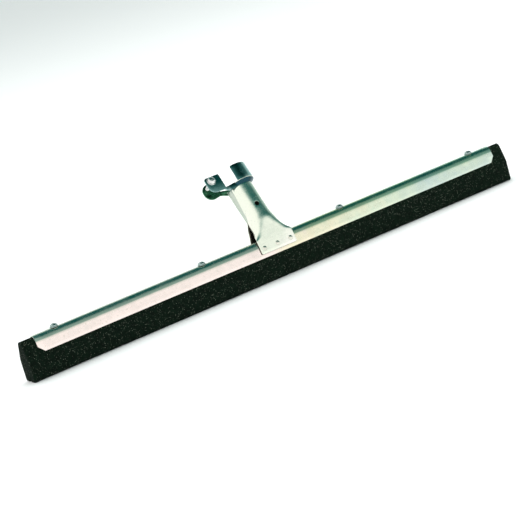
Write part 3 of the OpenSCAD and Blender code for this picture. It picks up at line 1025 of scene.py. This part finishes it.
def pan_head(bm, radius, height):
    """A domed pan head on z = 0 with a cross recess in its top."""
    head = bmesh.new()
    rim = radius * 0.50
    lower = height * 0.42
    dome = (radius * radius + (height - lower) ** 2) / (2 * (height - lower))
    profile = [(radius * 0.30, 0.0), (radius * 0.94, 0.0), (radius, height * 0.08), (radius, lower)]
    for k in range(1, 6):
        a = radius - (radius - rim) * k / 5
        profile.append((a, math.sqrt(dome * dome - a * a) - dome + height))
    turned(head, profile, 24)
    crest = profile[-1][1]
    arm, half = rim * 0.86, rim * 0.20
    corners = []
    for quarter in range(4):
        turn = Matrix.Rotation(quarter * math.pi / 2, 3, "Z")
        for x, y in ((arm, -half), (arm, half), (half, half)):
            corners.append(turn @ Vector((x, y, 0)))
    verts = [head.verts.new((p.x, p.y, crest + height * 0.03)) for p in corners]
    cross = [head.edges.new(pair) for pair in zip(verts, verts[1:] + verts[:1])]
    bmesh.ops.subdivide_edges(head, edges=cross, cuts=1)
    loop = [
        e
        for e in head.edges
        if not e.link_faces and all(v.co.z > crest + 1e-6 for v in e.verts)
    ]
    edge = [
        e
        for e in head.edges
        if len(e.link_faces) == 1 and all(abs(v.co.z - crest) < 1e-5 for v in e.verts)
    ]
    bmesh.ops.bridge_loops(head, edges=loop + edge)
    deep, floor = extrude_row(head, loop)
    bmesh.ops.translate(head, verts=list(deep), vec=(0, 0, -height * 0.55))
    bmesh.ops.scale(head, verts=list(deep), vec=(0.62, 0.62, 1))
    bmesh.ops.contextual_create(head, geom=floor)
    bottom = [
        e for e in head.edges if len(e.link_faces) == 1 and all(v.co.z < 1e-5 for v in e.verts)
    ]
    bmesh.ops.contextual_create(head, geom=bottom)
    bmesh.ops.recalc_face_normals(head, faces=head.faces)
    join_mesh(bm, head)


def screw(head, shank):
    """A pan head screw; its head stands on z = 0 and its shank hangs below."""
    bm = bmesh.new()
    pan_head(bm, *head)
    add_thread(bm, -shank, 0.1)
    return bm


def washer(outer):
    """A flat washer on z = 0 with eased edges."""
    bm = bmesh.new()
    e = WASHER_THICK * 0.22
    profile = [
        (WASHER_BORE, e),
        (WASHER_BORE, WASHER_THICK - e),
        (WASHER_BORE + e, WASHER_THICK),
        (outer - e, WASHER_THICK),
        (outer, WASHER_THICK - e),
        (outer, e),
        (outer - e, 0),
        (WASHER_BORE + e, 0),
        (WASHER_BORE, e),
    ]
    turned(bm, profile, 32)
    return bm


def make_rail_screws(s):
    """Four pan head screws with washers on the ridge of the rail."""
    top = s.dome_height + s.dome_radius
    for k, degrees in enumerate((23, 61, 8, 40), 1):
        x = (k - 2.5) * s.screw_spacing
        bm = washer(RIDGE_WASHER)
        place_mesh(bm, at_blade(s) @ Matrix.Translation((x, 0, top)))
        stands_for, body = [f"rail_washer_{k}"], f"screw_{k}_washer"
        finish_piece(bm, f"ridge_washer_{k}", "Ridge Screw", stands_for, body)
        bm = screw(RIDGE_HEAD, RIDGE_SHANK)
        turn = Matrix.Rotation(math.radians(degrees), 4, "Z")
        place_mesh(bm, at_blade(s) @ Matrix.Translation((x, 0, top + WASHER_THICK)) @ turn)
        stands_for, body = [f"rail_screw_{k}"], f"screw_{k}"
        finish_piece(bm, f"ridge_screw_{k}", "Ridge Screw", stands_for, body)


def make_rivets(s):
    """Three low dome rivets through each foot plate."""
    r, t, back = s.rivet_head, s.socket_sheet, -s.rail_sheet
    profile = [
        (0, t + 1.0),
        (r * 0.30, t + 0.96),
        (r * 0.58, t + 0.82),
        (r * 0.82, t + 0.52),
        (r * 0.96, t + 0.22),
        (r, t + 0.02),
        (RIVET_SHANK + 0.02, t - 0.05),
        (RIVET_SHANK, back),
        (r, back),
        (r * 0.9, back - 0.7),
        (0, back - 0.8),
    ]
    outward = Matrix.Rotation(-math.pi / 2, 4, "X")
    rows = (
        ("front", FRONT, -s.front_down + 5.1),
        ("rear", REAR, -s.rear_down + s.rear_height / 2 + 0.1),
    )
    for name, side, height in rows:
        for k in range(1, 4):
            bm = bmesh.new()
            turned(bm, profile, 28)
            stand = Matrix.Translation(((k - 2) * s.rivet_spacing, 0, height))
            place_mesh(bm, at_flange(s, side) @ stand @ outward)
            finish_piece(bm, f"{name}_rivet_head_{k}", "Rivet", [f"{name}_rivet_{k}"])


def make_clamp(s):
    """The clamp bolt through both ears, its two washers and its nut."""
    ear_face = s.ear_gap + s.socket_sheet
    nut_face = ear_face + WASHER_THICK
    height = s.socket_length + s.bolt_up
    place = at_socket(s) @ Matrix.Translation((-s.bolt_out, 0, height))
    rearward = Matrix.Rotation(-math.pi / 2, 4, "X")
    bm = screw(EAR_HEAD, s.bolt_length)
    turn = Matrix.Rotation(math.pi / 2, 4, "X") @ Matrix.Rotation(0.5, 4, "Z")
    place_mesh(bm, place @ Matrix.Translation((0, -nut_face, 0)) @ turn)
    finish_piece(bm, "ear_bolt", "Fastener", ["clamp_bolt"])
    for name, y, stands_for, body in (
        ("ear_washer_front", -nut_face, "front_washer", BODY),
        ("ear_washer_rear", ear_face, "rear_washer", "nut_washer"),
    ):
        bm = washer(EAR_WASHER)
        place_mesh(bm, place @ Matrix.Translation((0, y, 0)) @ rearward)
        finish_piece(bm, name, "Washer", [stands_for], body)
    bm = bmesh.new()
    corner = NUT_FLATS / math.cos(math.pi / 6)
    bmesh.ops.create_circle(bm, cap_ends=False, segments=6, radius=corner)
    bmesh.ops.subdivide_edges(bm, edges=bm.edges[:], cuts=5)
    lower = list(bm.edges)
    upper = extrude_edges(bm, lower, (0, 0, NUT_THICK))
    bore = []
    for loop, z in ((lower, 0.0), (upper, NUT_THICK)):
        start = Matrix.Translation((0, 0, z))
        ring = bmesh.ops.create_circle(
            bm, cap_ends=False, segments=36, radius=NUT_BORE, matrix=start
        )["verts"]
        wall = [e for e in bm.edges if e.verts[0] in ring and e.verts[1] in ring]
        bmesh.ops.bridge_loops(bm, edges=loop + wall)
        bore += wall
    bmesh.ops.bridge_loops(bm, edges=bore)
    for v in bm.verts:
        out = v.co.to_2d().length - NUT_FLATS * 0.985
        if out > 0:
            v.co.z += out * math.tan(math.radians(32)) * (1 if v.co.z < NUT_THICK / 2 else -1)
    turn = Matrix.Rotation(math.radians(30), 4, "Z")
    place_mesh(bm, place @ Matrix.Translation((0, nut_face, 0)) @ rearward @ turn)
    finish_piece(bm, "ear_nut", "Fastener", ["clamp_nut"], "nut", smooth=28)


def dress_bar():
    """Give the hidden clamp bar its material."""
    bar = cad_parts["clamp_bar"]
    bar.data.materials.clear()
    bar.data.materials.append(bpy.data.materials["Bar Steel"])


# Stage.


def make_floor(tint):
    """A wide pale floor under the squeegee."""
    bm = bmesh.new()
    bmesh.ops.create_grid(bm, x_segments=4, y_segments=4, size=30.0)
    bmesh.ops.translate(bm, verts=bm.verts, vec=(0, 20, -0.0002))
    mesh = bpy.data.meshes.new("floor")
    bm.to_mesh(mesh)
    bm.free()
    n = Material("Floor")
    shade = n.ramp(n.noise(0.8, 2.0, 0.5), [(0.3, tint), (0.7, tuple(c * 0.985 for c in tint))])
    n.feed("Base Color", shade)
    n.feed("Roughness", 0.75)
    n.feed("Specular IOR Level", 0.2)
    mesh.materials.append(n.material)
    floor = bpy.data.objects.new("floor", mesh)
    bpy.context.scene.collection.objects.link(floor)
    return floor


def make_light(name, place, target, size, power, shine, tint=(1, 1, 1)):
    """A soft square light that looks at a point."""
    data = bpy.data.lights.new(name, "AREA")
    data.shape = "SQUARE"
    data.size = size
    data.energy = power
    data.color = tint
    lamp = bpy.data.objects.new(name, data)
    lamp.location = place
    look = Vector(target) - Vector(place)
    lamp.rotation_euler = look.to_track_quat("-Z", "Y").to_euler()
    lamp.visible_glossy = shine
    lamp.visible_camera = False
    bpy.context.scene.collection.objects.link(lamp)
    return lamp


def make_world():
    """A white room with one soft dark teal patch overhead, which the plated sheet mirrors."""
    world = bpy.data.worlds.new("Studio")
    world.use_nodes = True
    n = Nodes(world.node_tree)
    coords = n.add("TexCoord").outputs["Generated"]
    overhead = [
        (0.0, (1.0, 1.0, 1.0)),
        (0.63, (1.0, 1.0, 0.99)),
        (0.71, (0.50, 0.60, 0.58)),
        (0.79, (0.15, 0.29, 0.275)),
        (0.87, (0.040, 0.155, 0.145)),
        (0.93, (0.005, 0.085, 0.080)),
    ]
    beside = [
        (0.0, (1.0, 1.0, 1.0)),
        (0.86, (1.0, 1.0, 1.0)),
        (0.94, (0.30, 0.44, 0.43)),
    ]
    shades = []
    for direction, stops in (((0.42, -0.12, 0.90), overhead), ((0.93, 0.10, 0.34), beside)):
        toward = n.add("VectorMath", {0: coords, 1: direction}, operation="DOT_PRODUCT")
        shades.append(n.ramp(toward.outputs["Value"], stops))
    room = n.mix(1.0, *shades, "MULTIPLY")
    back = n.add("Background", {"Color": room, "Strength": 1.2})
    n.add("OutputWorld", {"Surface": back.outputs[0]})
    bpy.context.scene.world = world


def make_camera():
    """The camera, from the front left and a little above."""
    data = bpy.data.cameras.new("Camera")
    data.sensor_width = 36
    data.angle = 2 * math.atan(265 / 2243.905)
    data.clip_start, data.clip_end = 0.05, 200
    camera = bpy.data.objects.new("Camera", data)
    right = Vector((0.81638231, -0.51304578, -0.26514893))
    down = Vector((-0.34592419, -0.0667736, -0.9358834))
    ahead = Vector((0.46244608, 0.85576008, -0.23198773))
    turn = Matrix((right, -down, -ahead)).transposed()
    camera.matrix_world = Matrix.Translation((-0.99168957, -1.83085136, 0.50505209)) @ turn.to_4x4()
    bpy.context.scene.collection.objects.link(camera)
    bpy.context.scene.camera = camera


# Operators, one for each piece or group of like pieces.


class SQUEEGEE_OT_materials(bpy.types.Operator):
    """Make the zinc, rubber and fastener materials"""

    bl_idname = "squeegee.materials"
    bl_label = "Materials"

    def execute(self, context):
        make_materials()
        dress_bar()
        return {"FINISHED"}


class SQUEEGEE_OT_foam(bpy.types.Operator):
    """Model the folded foam blade"""

    bl_idname = "squeegee.foam"
    bl_label = "Foam Blade"

    def execute(self, context):
        make_foam(sizes())
        return {"FINISHED"}


class SQUEEGEE_OT_rail(bpy.types.Operator):
    """Model the folded steel rail"""

    bl_idname = "squeegee.rail"
    bl_label = "Rail"

    def execute(self, context):
        make_rail(sizes())
        return {"FINISHED"}


class SQUEEGEE_OT_rail_screws(bpy.types.Operator):
    """Model the four screws and washers on the rail's ridge"""

    bl_idname = "squeegee.rail_screws"
    bl_label = "Rail Screws"

    def execute(self, context):
        make_rail_screws(sizes())
        return {"FINISHED"}


class SQUEEGEE_OT_socket(bpy.types.Operator):
    """Model the pressed handle socket with its two feet"""

    bl_idname = "squeegee.socket"
    bl_label = "Handle Socket"

    def execute(self, context):
        make_socket(sizes())
        return {"FINISHED"}


class SQUEEGEE_OT_seams(bpy.types.Operator):
    """Model the two seam flanges beside the socket"""

    bl_idname = "squeegee.seams"
    bl_label = "Seam Flanges"

    def execute(self, context):
        for side in (FRONT, REAR):
            make_seam(sizes(), side)
        return {"FINISHED"}


class SQUEEGEE_OT_collar(bpy.types.Operator):
    """Model the shoulder and the open collar band"""

    bl_idname = "squeegee.collar"
    bl_label = "Collar"

    def execute(self, context):
        make_collar(sizes())
        return {"FINISHED"}


class SQUEEGEE_OT_ears(bpy.types.Operator):
    """Model the two clamp ears"""

    bl_idname = "squeegee.ears"
    bl_label = "Clamp Ears"

    def execute(self, context):
        for side in (FRONT, REAR):
            make_ear(sizes(), side)
        return {"FINISHED"}


class SQUEEGEE_OT_rivets(bpy.types.Operator):
    """Model the six rivets of the foot plates"""

    bl_idname = "squeegee.rivets"
    bl_label = "Rivets"

    def execute(self, context):
        make_rivets(sizes())
        return {"FINISHED"}


class SQUEEGEE_OT_clamp(bpy.types.Operator):
    """Model the clamp bolt, its washers and its nut"""

    bl_idname = "squeegee.clamp"
    bl_label = "Clamp Bolt"

    def execute(self, context):
        make_clamp(sizes())
        return {"FINISHED"}


class SQUEEGEE_OT_stage(bpy.types.Operator):
    """Set up the floor, the lights, the surroundings and the camera"""

    bl_idname = "squeegee.stage"
    bl_label = "Stage"

    def execute(self, context):
        middle = (0, 0, 0.04)
        make_floor(tuple(context.scene.squeegee_colours.floor))
        make_light("overhead", (0.3, 0.5, 1.9), middle, 1.8, 34, False)
        make_light("front right", (1.6, -2.0, 0.95), middle, 0.9, 16, False, (1, 0.98, 0.95))
        make_world()
        make_camera()
        context.scene.view_settings.view_transform = "Standard"
        return {"FINISHED"}


class SQUEEGEE_PT_panel(bpy.types.Panel):
    """Sizes, colours and one button for each piece"""

    bl_label = "Floor Squeegee Head"
    bl_idname = "SQUEEGEE_PT_panel"
    bl_space_type = "VIEW_3D"
    bl_region_type = "UI"
    bl_category = "Squeegee"

    def draw(self, context):
        layout = self.layout
        column = layout.column(align=True)
        for operator in OPERATORS:
            column.operator(operator.bl_idname)
        for title, group in (
            ("Colours", context.scene.squeegee_colours),
            ("Sizes", context.scene.squeegee_sizes),
        ):
            box = layout.box()
            box.label(text=title)
            for name in type(group).__annotations__:
                box.prop(group, name)


OPERATORS = (
    SQUEEGEE_OT_materials,
    SQUEEGEE_OT_foam,
    SQUEEGEE_OT_rail,
    SQUEEGEE_OT_rail_screws,
    SQUEEGEE_OT_socket,
    SQUEEGEE_OT_seams,
    SQUEEGEE_OT_collar,
    SQUEEGEE_OT_ears,
    SQUEEGEE_OT_rivets,
    SQUEEGEE_OT_clamp,
    SQUEEGEE_OT_stage,
)
CLASSES = (SqueegeeSizes, SqueegeeColours, *OPERATORS, SQUEEGEE_PT_panel)


def register():
    """Add the classes and the settings to Blender."""
    for cls in CLASSES:
        bpy.utils.register_class(cls)
    bpy.types.Scene.squeegee_sizes = PointerProperty(type=SqueegeeSizes)
    bpy.types.Scene.squeegee_colours = PointerProperty(type=SqueegeeColours)


def unregister():
    """Take the classes and the settings out of Blender."""
    del bpy.types.Scene.squeegee_colours
    del bpy.types.Scene.squeegee_sizes
    for cls in reversed(CLASSES):
        bpy.utils.unregister_class(cls)


def main():
    """Build the whole squeegee head and its stage."""
    register()
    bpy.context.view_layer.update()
    bpy.ops.squeegee.materials()
    bpy.ops.squeegee.foam()
    bpy.ops.squeegee.rail()
    bpy.ops.squeegee.rail_screws()
    bpy.ops.squeegee.socket()
    bpy.ops.squeegee.seams()
    bpy.ops.squeegee.collar()
    bpy.ops.squeegee.ears()
    bpy.ops.squeegee.rivets()
    bpy.ops.squeegee.clamp()
    bpy.ops.squeegee.stage()
    bpy.context.view_layer.update()


if __name__ == "__main__":
    main()
